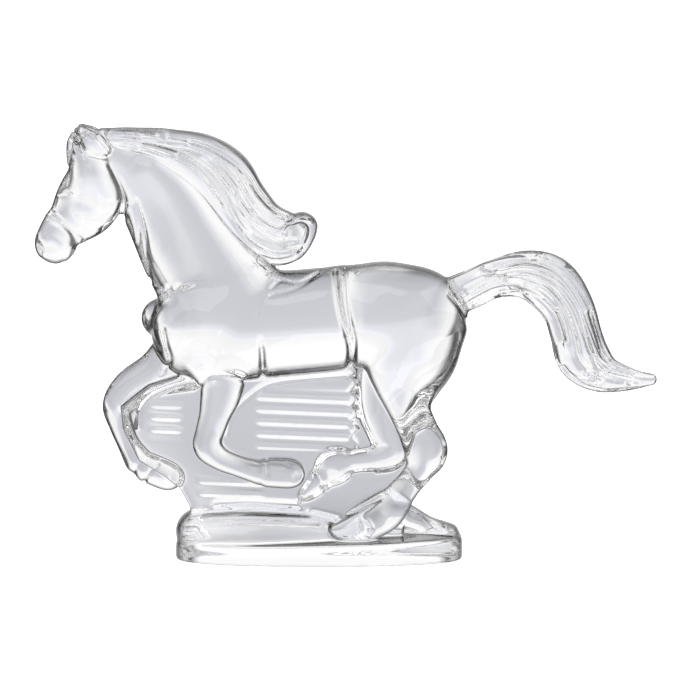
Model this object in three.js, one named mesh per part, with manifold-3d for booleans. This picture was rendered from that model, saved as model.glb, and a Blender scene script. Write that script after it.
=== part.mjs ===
// A galloping horse of clear pressed crystal, cast in one piece with the ridged web under its belly
// and the rounded oval plinth that it stands on. Millimetres, +Z up, muzzle towards -X.
// The origin is the centre of the plinth's flat underside.
import * as THREE from 'three';
import { mergeVertices } from 'three/addons/utils/BufferGeometryUtils.js';
import Module from 'manifold-3d';

// Driving dimensions
const FIGURE_LENGTH = 248;
const PLINTH_LENGTH = 114.6;
const PLINTH_DEPTH = 42;
const PLINTH_HEIGHT = 8.6;
const PLINTH_TOP_FALL = 2.4;
const PLINTH_FOOT_ROUND = 0.8;
const PLINTH_RIM_ROUND = 2.2;
const PLINTH_SQUARENESS = 2.5;
const WEB_THICKNESS = 9.6;
const RIDGE_DEPTH = 0.9;
const RIDGE_PITCH = 5;
const RIDGE_TILT = 0.042;
const LOCK_DEPTH = 0.9;
const CREASE_DEPTH = 1;
const CREASE_LEAST_HALF = 1.3;

// The figure is drawn at this length, with the plinth's top at this height, and then sized
const DRAWN_LENGTH = 248;
const DRAWN_PLINTH_TOP = 8.6;
const SIZE = FIGURE_LENGTH / DRAWN_LENGTH;

// Fineness of the form
const CELL = 1.6 * SIZE;
const BAND = 6 * SIZE;
const SPAN_STEPS = 8;
const FIGURE_TRIANGLES = 8600;
const PLINTH_SIDES = 64;
const ROUND_STEPS = 4;
const PINCH_FILL = 0.1;
const LOCK_FADE = 0.12;
const LOCK_SWAY = 3;
const CORNERS = Array.from({ length: 8 }, (_, c) => [c & 1, (c >> 1) & 1, (c >> 2) & 1]);

// Each limb is a chain of stations [x, z, y, half width in the side view, half depth across]
const plinthHalf = PLINTH_LENGTH / 2 / SIZE;
const plinthDeep = PLINTH_DEPTH / 2 / SIZE;
const limbs = [
  { name: 'torso', blend: 2, power: 2.2, stations: [
    [-47.5, 92.5, 0, 19.5, 13.5], [-36, 94.5, 0, 22.2, 16.5], [-15, 95.5, 0, 20.8, 17.3],
    [4, 97, 0, 20.6, 16.6], [14, 98.3, 0, 20.4, 15.2], [28, 98.3, 0, 21.6, 16.5],
    [40, 96.5, 0, 19.6, 15]] },
  { name: 'near_shoulder', blend: 2, stations: [
    [-30, 106, -7.5, 9, 7], [-43, 97, -8.5, 14, 9], [-56.5, 95, -7.5, 9.5, 6.5]] },
  { name: 'far_shoulder', blend: 2, stations: [
    [-30, 106, 7.5, 9, 7], [-46, 97, 8.5, 14, 9], [-63, 96, 7.5, 8, 6.5]] },
  { name: 'neck', blend: 6, stations: [
    [-38, 106, 0, 23, 13.5], [-50, 123, 0, 20.5, 11.6], [-60.5, 141, 0, 17.5, 9.2],
    [-71.5, 154.5, 0, 13.5, 7.2], [-82, 162.5, 0, 9.5, 5.8], [-88, 164.5, 0, 8, 5]] },
  { name: 'head', blend: 0.8, power: 2.3, stations: [
    [-91, 162.5, 0, 8.3, 6.4], [-89.9, 153, 0, 10.9, 8], [-91.8, 145, 0, 13.2, 7.6],
    [-97.3, 137.8, 0, 10.4, 6.2], [-101.6, 134.4, 0, 8.8, 5.4]] },
  { name: 'muzzle', blend: 0.8, power: 2.2, stations: [
    [-103.4, 132, 0, 8.3, 5.6], [-104.9, 128, 0, 8.5, 6.2], [-105.7, 126.6, 0, 7.3, 5.6]] },
  ...mirrored({ name: 'cheek', blend: 1.2, stations: [
    [-89.2, 151, 4.2, 8.5, 3.6], [-89, 146, 4.2, 10, 4], [-91, 143, 4, 8.5, 3.6]] }),
  ...mirrored({ name: 'ear', blend: 0.8, stations: [
    [-87.4, 165.6, 4.6, 4.8, 2.6], [-90.8, 170, 5.4, 4, 2.2], [-95.6, 175, 5, 1.1, 1.1]] }),
  { name: 'forelock', blend: 0.8, stations: [
    [-88, 170.6, 0, 2.6, 3.4], [-94, 172.2, 0, 3.2, 3], [-98.4, 168.4, 0, 2.5, 2.4],
    [-99.2, 163.6, 0, 2, 2.2], [-99.6, 159.6, 0, 0.9, 1.2]] },
  ...mirrored({ name: 'forelock_strand', blend: 0.8, stations: [
    [-94.4, 173.6, 2.4, 1.8, 2.2], [-97.2, 170, 2.8, 2.1, 2], [-97.4, 165.6, 3, 1.8, 1.8],
    [-96, 162.6, 3.6, 0.9, 1]] }),
  ...mirrored({ name: 'temple_strand', blend: 0.8, stations: [
    [-93.4, 172.8, 4, 1.6, 1.8], [-95.2, 169.4, 4.6, 1.7, 1.8], [-94.4, 165.8, 5, 1.5, 1.6],
    [-93.2, 163.8, 5.2, 0.9, 1]] }),
  { name: 'mane', blend: 0.8, locks: 5, stations: [
    [-86, 170, 0, 4.2, 5], [-74, 168.5, 0, 5.5, 6.2], [-60, 165, 0, 8.4, 7.6], [-46, 158.5, 0, 11.5, 8.8],
    [-36.5, 148, 0, 11.8, 9], [-28, 137, 0, 12, 8.4], [-17, 129.6, 0, 10.6, 6.6], [-11, 129.6, 0, 8, 5]] },
  { name: 'mane_crest', blend: 0.8, stations: [
    [-84, 171.5, 0, 2.6, 4.4], [-62, 169.8, 0, 3.6, 6], [-46, 166, 0, 5.5, 8], [-34.6, 158.2, 0, 6.9, 9.6],
    [-27, 147.6, 0, 6, 8.6], [-18.8, 139.8, 0, 4, 6.4], [-10, 137.6, 0, 1.8, 4]] },
  { name: 'curl', blend: 0.8, stations: [
    [-14, 120.8, 0, 1.6, 3], [-8.4, 123.4, 0, 2.2, 4.6], [-4.2, 129.6, 0, 2.4, 5.2],
    [-3, 135.4, 0, 2.4, 5], [-6.8, 138, 0, 2.2, 5.4], [-12, 136.2, 0, 1.7, 6.2],
    [-16, 132.8, 0, 1.3, 6.8]] },
  { name: 'tail', blend: 2, locks: 4, stations: [
    [48, 104, 0, 8, 6], [60, 108.7, 0, 7.6, 5.4], [70, 113.2, 0, 7.6, 5.6], [82, 115, 0, 9.2, 6.6],
    [92, 111.3, 0, 11, 7.6], [99.5, 102, 0, 10.5, 7.8], [102.7, 92, 0, 10.4, 7.4],
    [105.5, 82, 0, 10.6, 6.8], [113, 75, 0, 7.4, 5.6], [124, 72.6, 0, 4.2, 3.8],
    [132.6, 72.4, 0, 2.4, 2.2]] },
  { name: 'near_hind', blend: 3, stations: [
    [32, 94, -6.5, 16.5, 9.5], [34.4, 84.5, -7.5, 16.4, 10], [34.6, 75, -8, 13.2, 8.8],
    [36, 62.5, -8, 8.7, 6.8], [39.6, 53, -8, 8.1, 5.6], [42.7, 45, -8, 8.8, 5.4], [41, 38.5, -8, 6.2, 4.8],
    [36.6, 32.5, -8.4, 5.4, 4.8], [32, 27, -9, 5.9, 5.2]] },
  { name: 'near_hind_hoof', blend: 0.8, stations: [
    [31, 25, -9.6, 6.3, 5.6], [25, 20, -10.5, 8.3, 6.6], [17, 16, -11, 7.4, 6.8],
    [9.5, 13.8, -11.5, 4.4, 5.6], [6.5, 13.6, -11.5, 2.4, 4.4]] },
  { name: 'haunch', blend: 4, stations: [
    [41, 96, 0, 19, 15.5], [39.4, 86, 0, 17.2, 15], [36.8, 75, 0, 13.8, 12.6], [36, 66.5, 0, 9.6, 9.5],
    [36.4, 60, 0, 7.4, 7]] },
  { name: 'far_hind', blend: 3, stations: [
    [30, 96, 6, 16.5, 9.5], [31, 83, 8, 15.5, 10], [27.5, 71, 9, 13, 8], [26.5, 60, 8.5, 10.8, 6.4],
    [28, 51, 8, 8.6, 5.6], [29.5, 43.5, 7.5, 7.6, 5.4], [23, 39.6, 7, 5.6, 4.8], [14.5, 38.4, 6.5, 5, 4.6],
    [6.8, 37, 6.5, 6.4, 5.4], [2.5, 34, 6.5, 5.4, 4.8]] },
  { name: 'far_hind_hoof', blend: 1, stations: [
    [0.8, 31.4, 6.5, 4.6, 5], [-3, 27.4, 6.5, 3.4, 4.6], [-6, 24.6, 6.5, 2, 3.6]] },
  { name: 'near_fore', blend: 3, stations: [
    [-42, 88, -7.5, 15, 8.5], [-38.8, 74, -9, 9.6, 7], [-40.5, 62, -8.8, 7.2, 6],
    [-43.5, 52.8, -8.2, 5.8, 5.1], [-44.3, 46.6, -8.2, 5.9, 5.2], [-39.5, 41.5, -7.8, 4.6, 4.4],
    [-31, 38, -7.6, 4.2, 4], [-23, 35.7, -8, 4.8, 4.6]] },
  { name: 'near_fore_hoof', blend: 0.8, power: 2.4, stations: [
    [-20, 36, -8.4, 5.8, 5.2], [-12, 35.6, -8.6, 5.8, 5.6], [-10, 35.4, -8.6, 4.2, 4.6]] },
  { name: 'far_fore', blend: 3, stations: [
    [-52, 82, 6, 14, 8.5], [-64, 74.5, 8, 9, 7], [-75, 67.5, 9, 7.6, 6], [-80.6, 60.5, 9, 6, 5.4],
    [-79.3, 52.5, 8.5, 4.8, 4.6], [-76.2, 45, 8, 4.6, 4.4], [-72.3, 38.4, 7.5, 5.7, 5]] },
  { name: 'far_fore_hoof', blend: 0.8, power: 2.4, stations: [
    [-68, 35.2, 7, 6.2, 5.6], [-61, 32.2, 7, 6, 5.8], [-59.3, 31.8, 7, 4.6, 4.8]] },
  { name: 'heel_ridge', blend: 3, stations: [
    [29, 19, 1, 6, 6], [36.4, 15.4, 3, 5, 6], [44, 12.2, 4, 3.6, 5], [plinthHalf - 4.6, 10.2, 3, 3, 7]] },
  { name: 'mound', blend: 4, stations: [
    [8.6 - plinthHalf, 11, 0, 8.6, plinthDeep * 0.56], [-30, 9, 0, 12.6, plinthDeep * 0.74],
    [-8, 8.6, 0.5, 11.4, plinthDeep * 0.68], [12, 7.6, 2, 7.4, plinthDeep * 0.56],
    [28, 6, 4, 5, plinthDeep * 0.5], [42, 5, 4, 3, plinthDeep * 0.4]] },
];

// The web's outline in the side view
const webOutline = [
  [-79, 61], [-68, 70], [-50, 76], [-20, 82], [10, 86], [34, 86], [38, 50], [37, 30], [33, 10], [-48, 10],
  [-51.5, 21], [-55.5, 28.5], [-61, 33], [-72, 40], [-78, 52]];

// Panels of the web that carry level ridges, as [low x, high x, low z, high z]
const ridgePanels = [[-27, 15, 42, 71], [-69, -53, 47, 65], [-50, -20, 20, 35]];
const PANEL_FADE = 5;

// Creases pressed into both sides of the horse, as [half width, depth, line in the side view],
// the depth in common creases
const horseCreases = [
  [0.8, 1.6, [[5.5, 118], [6.5, 108], [8.5, 100], [10.5, 93], [12, 87], [11.5, 80], [10, 76]]],
  [0.8, 1.6, [[9.5, 119], [11, 106], [12.5, 97], [14, 90], [13.2, 82], [12.5, 77]]],
  [0.8, 1.6, [[-23.6, 90], [-24.6, 85], [-23.6, 79.5], [-22.4, 74]]],
  [0.8, 1.6, [[-23.6, 90], [-21.6, 86], [-20.6, 81], [-22.4, 74]]],
  [0.9, 1.0, [[-62.5, 95], [-58, 98.5], [-52, 105], [-47.5, 109]]],
  [0.9, 1.0, [[-62, 95], [-60.5, 88], [-59.2, 82], [-62, 78]]],
  [0.7, 0.8, [[-72.5, 147], [-70.5, 140], [-69, 133], [-68.4, 125], [-67, 114]]],
  [0.8, 1.1, [[-83.5, 161], [-79.5, 153.5], [-77.2, 147], [-77.4, 142], [-79, 136]]],
  [0.8, 1.3, [[-110, 139], [-103, 135.2], [-97.5, 132.2], [-91, 128.5]]],
  [0.8, 1.0, [[-19, 108.5], [-10, 110.8], [-3, 115], [1, 118.5]]],
  [0.7, 0.8, [[-18.5, 111.5], [-15, 114.4], [-8.5, 113.4], [-1, 117]]],
  [0.8, 1.0, [[52, 108.4], [56.4, 103], [59, 98], [61.5, 93]]],
  [0.8, 1.0, [[-50, 68.5], [-47, 72], [-43.5, 76], [-36, 75.6], [-28, 73.4], [-22, 72.6]]],
  [0.7, 1.0, [[-64.4, 41], [-67.6, 37], [-71, 31]]],
];

// Creases pressed into the web and the mound, in the same form
const baseCreases = [
  [0.8, 0.9, [[-36.5, 51], [-35, 58], [-30, 64], [-22, 70], [-14, 72.2], [0, 73.5], [12, 74.5]]],
  [0.7, 0.7, [[15.2, 70], [16.4, 58], [15.4, 46]]],
  [0.8, 0.9, [[-72, 54], [-71.4, 60], [-67, 66], [-60, 69.6], [-50, 72.4]]],
  [0.7, 0.9, [[-52, 16], [-30, 17], [0, 15.6]]],
  [0.7, 0.7, [[-46, 12.4], [-25, 13.6], [4, 12]]],
];

// The same limb on both sides of the middle
function mirrored(limb) {
  return [-1, 1].map((side) => ({
    ...limb,
    name: `${limb.name}_${side < 0 ? 'near' : 'far'}`,
    stations: limb.stations.map(([x, z, y, w, d]) => [x, z, y * side, w, d]),
  }));
}

// Place in the finished part of a drawn height
function placedHeight(z) {
  return PLINTH_HEIGHT + (z - DRAWN_PLINTH_TOP) * SIZE;
}

// Stations placed and sized, then filled in along a Catmull-Rom spline
function splineSamples(stations) {
  const placed = stations.map(([x, z, y, w, d]) => [x * SIZE, placedHeight(z), y * SIZE, w * SIZE, d * SIZE]);
  const first = placed[0].map((v, i) => 2 * v - placed[1][i]);
  const last = placed.at(-1).map((v, i) => 2 * v - placed.at(-2)[i]);
  const chain = [first, ...placed, last];
  const samples = [];
  for (let s = 0; s + 3 < chain.length; s++) {
    const [a, b, c, d] = chain.slice(s, s + 4);
    for (let step = 0; step < SPAN_STEPS; step++) {
      const t = step / SPAN_STEPS;
      samples.push(b.map((v, i) => 0.5 * (2 * v + (c[i] - a[i]) * t
        + (2 * a[i] - 5 * v + 4 * c[i] - d[i]) * t ** 2
        + (3 * v - a[i] - 3 * c[i] + d[i]) * t ** 3)));
    }
  }
  samples.push(placed.at(-1));
  return samples;
}

// Smooth minimum of two distances, rounded over a length k
function smoothMin(a, b, k) {
  const h = Math.max(k - Math.abs(a - b), 0) / k;
  return Math.min(a, b) - h * h * h * k / 6;
}

// Smooth maximum of two distances
function smoothMax(a, b, k) {
  return -smoothMin(-a, -b, k);
}

// Nearest place on a limb to a point of the side view, measured in half widths
function nearestOnLimb(samples, x, z) {
  const best = { across: Infinity, side: 1, along: 0, y: 0, w: 1, d: 1 };
  for (let i = 0; i + 1 < samples.length; i++) {
    const [ax, az, ay, aw, ad] = samples[i];
    const [bx, bz, by, bw, bd] = samples[i + 1];
    const dx = bx - ax;
    const dz = bz - az;
    const t = THREE.MathUtils.clamp(((x - ax) * dx + (z - az) * dz) / (dx * dx + dz * dz), 0, 1);
    const ox = x - ax - t * dx;
    const oz = z - az - t * dz;
    const w = aw + (bw - aw) * t;
    const across = Math.hypot(ox, oz) / w;
    if (across < best.across) {
      best.across = across;
      best.side = dx * oz - dz * ox < 0 ? -1 : 1;
      best.along = (i + t) / (samples.length - 1);
      best.y = ay + (by - ay) * t;
      best.w = w;
      best.d = ad + (bd - ad) * t;
    }
  }
  return best;
}

// Distance to the skin of a limb from its section's place, with the locks of hair as waves round it
function limbDistance(limb, near, y) {
  const n = limb.power ?? 2;
  const q = near.across;
  const p = Math.abs(y - near.y) / near.d;
  const r = Math.max((q ** n + p ** n) ** (1 / n), 1e-6);
  const slope = r ** (1 - n) * Math.hypot(q ** (n - 1) / near.w, p ** (n - 1) / near.d);
  let distance = Math.max((r - 1) / Math.max(slope, 1e-6), -Math.min(near.w, near.d));
  if (limb.locks) {
    const angle = Math.atan2(p, q * near.side);
    const fade = Math.min(1, Math.min(near.along, 1 - near.along) / LOCK_FADE);
    distance += LOCK_DEPTH * SIZE * fade * Math.cos(2 * limb.locks * angle + LOCK_SWAY * Math.sin(5 * near.along));
  }
  return distance;
}

// Distance in the side view to a line of points
function lineDistance(line, x, z) {
  let nearest = Infinity;
  for (let i = 0; i + 1 < line.length; i++) {
    const [ax, az] = line[i];
    const dx = line[i + 1][0] - ax;
    const dz = line[i + 1][1] - az;
    const t = THREE.MathUtils.clamp(((x - ax) * dx + (z - az) * dz) / (dx * dx + dz * dz), 0, 1);
    nearest = Math.min(nearest, Math.hypot(x - ax - t * dx, z - az - t * dz));
  }
  return nearest;
}

// Signed distance in the side view to a closed outline, negative inside
function outlineDistance(outline, x, z) {
  let inside = false;
  outline.forEach(([ax, az], i) => {
    const [bx, bz] = outline[(i + 1) % outline.length];
    if ((az > z) !== (bz > z) && x < ax + (z - az) / (bz - az) * (bx - ax)) {
      inside = !inside;
    }
  });
  const distance = lineDistance([...outline, outline[0]], x, z);
  return inside ? -distance : distance;
}

// The space that the figure is worked out in, as drawn
const SPACE_LOW = [-118, -25];
const SPACE_HIGH = [140, 25, 182];

function makeGrid() {
  const low = new THREE.Vector3(SPACE_LOW[0] * SIZE, SPACE_LOW[1] * SIZE, 0);
  const high = new THREE.Vector3(SPACE_HIGH[0] * SIZE, SPACE_HIGH[1] * SIZE, placedHeight(SPACE_HIGH[2]));
  const count = [high.x - low.x, high.y - low.y, high.z - low.z].map((v) => Math.ceil(v / CELL) + 1);
  const values = new Float64Array(count[0] * count[1] * count[2]).fill(BAND);
  return { low, count, values };
}

// Calls visit for each column of the grid inside a span of x and z
function eachColumn(grid, x0, x1, z0, z1, visit) {
  const [nx, , nz] = grid.count;
  for (let i = 0; i < nx; i++) {
    const x = grid.low.x + i * CELL;
    for (let k = 0; x >= x0 && x <= x1 && k < nz; k++) {
      const z = grid.low.z + k * CELL;
      if (z >= z0 && z <= z1) {
        visit(i, k, x, z);
      }
    }
  }
}

// Changes each value of one column, given its depth across
function changeColumn(grid, i, k, change) {
  const [, ny, nz] = grid.count;
  for (let j = 0; j < ny; j++) {
    const at = (i * ny + j) * nz + k;
    grid.values[at] = change(grid.values[at], grid.low.y + j * CELL);
  }
}

// Joins a limb to what the grid holds
function addLimb(grid, limb) {
  const samples = splineSamples(limb.stations);
  const lows = samples.map(([x, z, , w]) => [x - w, z - w]);
  const highs = samples.map(([x, z, , w]) => [x + w, z + w]);
  const x0 = Math.min(...lows.map(([x]) => x)) - BAND;
  const x1 = Math.max(...highs.map(([x]) => x)) + BAND;
  const z0 = Math.min(...lows.map(([, z]) => z)) - BAND;
  const z1 = Math.max(...highs.map(([, z]) => z)) + BAND;
  eachColumn(grid, x0, x1, z0, z1, (i, k, x, z) => {
    const near = nearestOnLimb(samples, x, z);
    changeColumn(grid, i, k, (value, y) => {
      const distance = THREE.MathUtils.clamp(limbDistance(limb, near, y), -BAND, BAND);
      return smoothMin(value, distance, limb.blend * SIZE);
    });
  });
}

// Presses creases into both sides
function pressCreases(grid, creases) {
  creases.forEach(([narrow, depth, line]) => {
    const half = Math.max(narrow, CREASE_LEAST_HALF);
    const placed = line.map(([x, z]) => [x * SIZE, placedHeight(z)]);
    eachColumn(grid, -Infinity, Infinity, -Infinity, Infinity, (i, k, x, z) => {
      const away = lineDistance(placed, x, z) / (half * SIZE);
      if (away < 3) {
        changeColumn(grid, i, k, (value) => value + CREASE_DEPTH * depth * Math.exp(-away * away));
      }
    });
  });
}

// How much of the ridges shows at a place on the web: all of it inside a panel, none outside
function ridgeShare(x, z) {
  return Math.max(...ridgePanels.map(([x0, x1, z0, z1]) => {
    const inward = Math.min(x / SIZE - x0, x1 - x / SIZE, z - placedHeight(z0), placedHeight(z1) - z);
    return THREE.MathUtils.smoothstep(inward, 0, PANEL_FADE);
  }));
}

// Joins the web, its faces waved into level ridges
function addWeb(grid) {
  const outline = webOutline.map(([x, z]) => [x * SIZE, placedHeight(z)]);
  eachColumn(grid, -Infinity, Infinity, -Infinity, Infinity, (i, k, x, z) => {
    const edge = outlineDistance(outline, x, z);
    const wave = Math.cos(2 * Math.PI * (z + RIDGE_TILT * x) / RIDGE_PITCH);
    const half = WEB_THICKNESS / 2 + RIDGE_DEPTH / 2 * wave * ridgeShare(x, z);
    changeColumn(grid, i, k, (value, y) => {
      const plate = smoothMax(edge, Math.abs(y) - half, 3 * SIZE);
      return smoothMin(value, plate, 3 * SIZE);
    });
  });
}

// Cuts the figure off level inside the plinth
function trimFoot(grid) {
  const cut = PLINTH_HEIGHT / 3;
  eachColumn(grid, -Infinity, Infinity, -Infinity, Infinity, (i, k, x, z) => {
    changeColumn(grid, i, k, (value) => Math.max(value, cut - z));
  });
}

// Fills the places where the form only touches itself at a corner or an edge of the grid
function fillPinches(grid) {
  const [nx, ny, nz] = grid.count;
  const { values } = grid;
  const steps = [ny * nz, nz, 1];
  const fill = (...outside) => {
    const least = outside.reduce((a, b) => (values[b] < values[a] ? b : a));
    values[least] = -PINCH_FILL * CELL;
  };
  let filled = true;
  while (filled) {
    filled = false;
    for (let i = 0; i + 1 < nx; i++) {
      for (let j = 0; j + 1 < ny; j++) {
        for (let k = 0; k + 1 < nz; k++) {
          const here = (i * ny + j) * nz + k;
          for (let axis = 0; axis < 3; axis++) {
            const [u, v] = [steps[(axis + 1) % 3], steps[(axis + 2) % 3]];
            const ring = [here, here + u, here + u + v, here + v];
            const inside = ring.map((at) => values[at] < 0);
            if (inside[0] === inside[2] && inside[1] === inside[3] && inside[0] !== inside[1]) {
              fill(...ring.filter((at) => values[at] >= 0));
              filled = true;
            }
          }
          const corners = CORNERS.map(([a, b, c]) => here + a * steps[0] + b * steps[1] + c * steps[2]);
          const outside = corners.filter((at) => values[at] >= 0);
          const few = outside.length === 6 ? corners.filter((at) => values[at] < 0) : outside;
          if (few.length === 2 && few[0] + few[1] === corners[0] + corners[7]) {
            fill(...outside);
            filled = true;
          }
        }
      }
    }
  }
}

// Wraps the zero level of the grid in a closed skin, one point to each cell that it passes through
function wrapSurface(grid) {
  const [nx, ny, nz] = grid.count;
  const at = (i, j, k) => (i * ny + j) * nz + k;
  const { values, low } = grid;
  const pointOf = new Int32Array(values.length).fill(-1);
  const points = [];
  for (let i = 0; i + 1 < nx; i++) {
    for (let j = 0; j + 1 < ny; j++) {
      for (let k = 0; k + 1 < nz; k++) {
        const level = CORNERS.map(([a, b, c]) => values[at(i + a, j + b, k + c)]);
        const sum = [0, 0, 0];
        let crossings = 0;
        for (let c = 0; c < 8; c++) {
          for (let axis = 0; axis < 3; axis++) {
            const other = c | (1 << axis);
            if (other !== c && (level[c] < 0) !== (level[other] < 0)) {
              const share = level[c] / (level[c] - level[other]);
              CORNERS[c].forEach((v, n) => {
                sum[n] += v + (n === axis ? share : 0);
              });
              crossings++;
            }
          }
        }
        if (crossings) {
          pointOf[at(i, j, k)] = points.length;
          points.push([
            low.x + (i + sum[0] / crossings) * CELL,
            low.y + (j + sum[1] / crossings) * CELL,
            low.z + (k + sum[2] / crossings) * CELL]);
        }
      }
    }
  }
  const triangles = [];
  for (let i = 1; i + 1 < nx; i++) {
    for (let j = 1; j + 1 < ny; j++) {
      for (let k = 1; k + 1 < nz; k++) {
        const here = values[at(i, j, k)] < 0;
        const cell = [i, j, k];
        for (let axis = 0; axis < 3; axis++) {
          const next = [...cell];
          next[axis]++;
          if (here !== values[at(...next)] < 0) {
            const u = (axis + 1) % 3;
            const v = (axis + 2) % 3;
            const ring = [[1, 1], [0, 1], [0, 0], [1, 0]].map(([du, dv]) => {
              const corner = [...cell];
              corner[u] -= du;
              corner[v] -= dv;
              return pointOf[at(...corner)];
            });
            if (!here) {
              ring.reverse();
            }
            triangles.push([ring[0], ring[1], ring[2]], [ring[0], ring[2], ring[3]]);
          }
        }
      }
    }
  }
  return { points, triangles };
}

// Normal of a triangle, as long as twice its area
function triangleNormal(a, b, c) {
  const u = [b[0] - a[0], b[1] - a[1], b[2] - a[2]];
  const v = [c[0] - a[0], c[1] - a[1], c[2] - a[2]];
  return [u[1] * v[2] - u[2] * v[1], u[2] * v[0] - u[0] * v[2], u[0] * v[1] - u[1] * v[0]];
}

// Sum of squared distances to a plane, as the ten numbers of a quadric
function planeQuadric([x, y, z], point) {
  const length = Math.hypot(x, y, z);
  const [a, b, c] = [x / length, y / length, z / length];
  const d = -(a * point[0] + b * point[1] + c * point[2]);
  return [a * a, a * b, a * c, a * d, b * b, b * c, b * d, c * c, c * d, d * d].map((v) => v * length);
}

// Value of a quadric at a point
function quadricAt(q, [x, y, z]) {
  return q[0] * x * x + 2 * q[1] * x * y + 2 * q[2] * x * z + 2 * q[3] * x + q[4] * y * y
    + 2 * q[5] * y * z + 2 * q[6] * y + q[7] * z * z + 2 * q[8] * z + q[9];
}

// Point where a quadric is least, or the middle of the edge where it has none
function quadricLow(q, middle) {
  const matrix = new THREE.Matrix3(q[0], q[1], q[2], q[1], q[4], q[5], q[2], q[5], q[7]);
  const size = q[0] + q[4] + q[7];
  if (Math.abs(matrix.determinant()) < 1e-4 * size ** 3) {
    return middle;
  }
  const low = new THREE.Vector3(-q[3], -q[6], -q[8]).applyMatrix3(matrix.invert());
  return low.distanceTo(new THREE.Vector3(...middle)) < CELL ? low.toArray() : middle;
}

// A heap of edges, cheapest first
function makeHeap() {
  const items = [];
  const swap = (a, b) => {
    [items[a], items[b]] = [items[b], items[a]];
  };
  return {
    push(item) {
      items.push(item);
      let at = items.length - 1;
      while (at > 0 && items[at].cost < items[(at - 1) >> 1].cost) {
        swap(at, (at - 1) >> 1);
        at = (at - 1) >> 1;
      }
    },
    pop() {
      swap(0, items.length - 1);
      const top = items.pop();
      let at = 0;
      for (;;) {
        const children = [2 * at + 1, 2 * at + 2].filter((c) => c < items.length);
        const least = children.reduce((a, b) => (items[b].cost < items[a].cost ? b : a), at);
        if (least === at) {
          return top;
        }
        swap(at, least);
        at = least;
      }
    },
    get size() {
      return items.length;
    },
  };
}

// Thins a skin to a number of triangles by closing up its flattest edges
function thinSurface({ points, triangles }, target) {
  const around = points.map(() => new Set());
  triangles.forEach((triangle, t) => triangle.forEach((p) => around[p].add(t)));
  const quadrics = points.map(() => new Array(10).fill(0));
  triangles.forEach((triangle) => {
    const normal = triangleNormal(...triangle.map((p) => points[p]));
    if (Math.hypot(...normal) > 0) {
      const quadric = planeQuadric(normal, points[triangle[0]]);
      triangle.forEach((p) => quadric.forEach((v, i) => {
        quadrics[p][i] += v;
      }));
    }
  });
  const version = points.map(() => 0);
  const heap = makeHeap();
  const neighbours = (p) => new Set([...around[p]].flatMap((t) => triangles[t]).filter((v) => v !== p));
  const offer = (a, b) => {
    const sum = quadrics[a].map((v, i) => v + quadrics[b][i]);
    const middle = points[a].map((v, i) => (v + points[b][i]) / 2);
    const place = quadricLow(sum, middle);
    const length = Math.hypot(...points[a].map((v, i) => v - points[b][i]));
    const cost = Math.max(quadricAt(sum, place), 0) + 1e-3 * length ** 2;
    heap.push({ cost, a, b, place, versions: [version[a], version[b]] });
  };
  triangles.forEach(([a, b, c]) => [[a, b], [b, c], [c, a]].forEach(([p, q]) => p < q && offer(p, q)));
  const keepsFacing = (moved, other, place) => [...around[moved]].every((t) => {
    if (triangles[t].includes(other)) {
      return true;
    }
    const before = triangleNormal(...triangles[t].map((p) => points[p]));
    const corners = triangles[t].map((p) => (p === moved ? place : points[p]));
    const after = triangleNormal(...corners);
    const dot = before[0] * after[0] + before[1] * after[1] + before[2] * after[2];
    const longest = Math.max(...corners.map((c, i) => Math.hypot(...c.map((v, n) => v - corners[(i + 1) % 3][n]))));
    return dot > 0.3 * Math.hypot(...before) * Math.hypot(...after)
      && Math.hypot(...after) > 0.12 * longest ** 2;
  });
  let left = triangles.length;
  while (left > target && heap.size) {
    const { a, b, place, versions } = heap.pop();
    if (versions[0] !== version[a] || versions[1] !== version[b]) {
      continue;
    }
    const ringA = neighbours(a);
    const shared = [...neighbours(b)].filter((p) => ringA.has(p));
    if (shared.length === 2 && keepsFacing(a, b, place) && keepsFacing(b, a, place)) {
      points[a] = place;
      quadrics[a] = quadrics[a].map((v, i) => v + quadrics[b][i]);
      [...around[b]].forEach((t) => {
        if (triangles[t].includes(a)) {
          triangles[t].forEach((p) => around[p].delete(t));
          triangles[t] = null;
          left--;
        } else {
          triangles[t] = triangles[t].map((p) => (p === b ? a : p));
          around[a].add(t);
        }
      });
      around[b].clear();
      version[a]++;
      version[b] = -1;
      neighbours(a).forEach((p) => offer(Math.min(a, p), Math.max(a, p)));
    }
  }
  return { points, triangles: triangles.filter(Boolean) };
}

// Geometry of the points that its triangles use
function makeGeometry({ points, triangles }) {
  const numbers = new Map();
  triangles.flat().forEach((p) => numbers.has(p) || numbers.set(p, numbers.size));
  const geometry = new THREE.BufferGeometry();
  const used = [...numbers.keys()].flatMap((p) => points[p]);
  geometry.setAttribute('position', new THREE.Float32BufferAttribute(used, 3));
  geometry.setIndex(triangles.flat().map((p) => numbers.get(p)));
  return geometry;
}

// The figure: limbs, web and mound as one skin
function figureGeometry() {
  const grid = makeGrid();
  limbs.forEach((limb) => addLimb(grid, limb));
  pressCreases(grid, horseCreases);
  addWeb(grid);
  pressCreases(grid, baseCreases);
  trimFoot(grid);
  fillPinches(grid);
  return makeGeometry(thinSurface(wrapSurface(grid), FIGURE_TRIANGLES));
}

// Height of the plinth's top, which falls towards the muzzle
function plinthTop(x) {
  return PLINTH_HEIGHT + PLINTH_TOP_FALL * x / PLINTH_LENGTH;
}

// One point of the plinth's oval, drawn in by an inset
function ovalPoint(angle, inset) {
  const share = 2 / PLINTH_SQUARENESS;
  const x = Math.sign(Math.cos(angle)) * Math.abs(Math.cos(angle)) ** share;
  const y = Math.sign(Math.sin(angle)) * Math.abs(Math.sin(angle)) ** share;
  return [x * (PLINTH_LENGTH / 2 - inset), y * (PLINTH_DEPTH / 2 - inset)];
}

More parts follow.
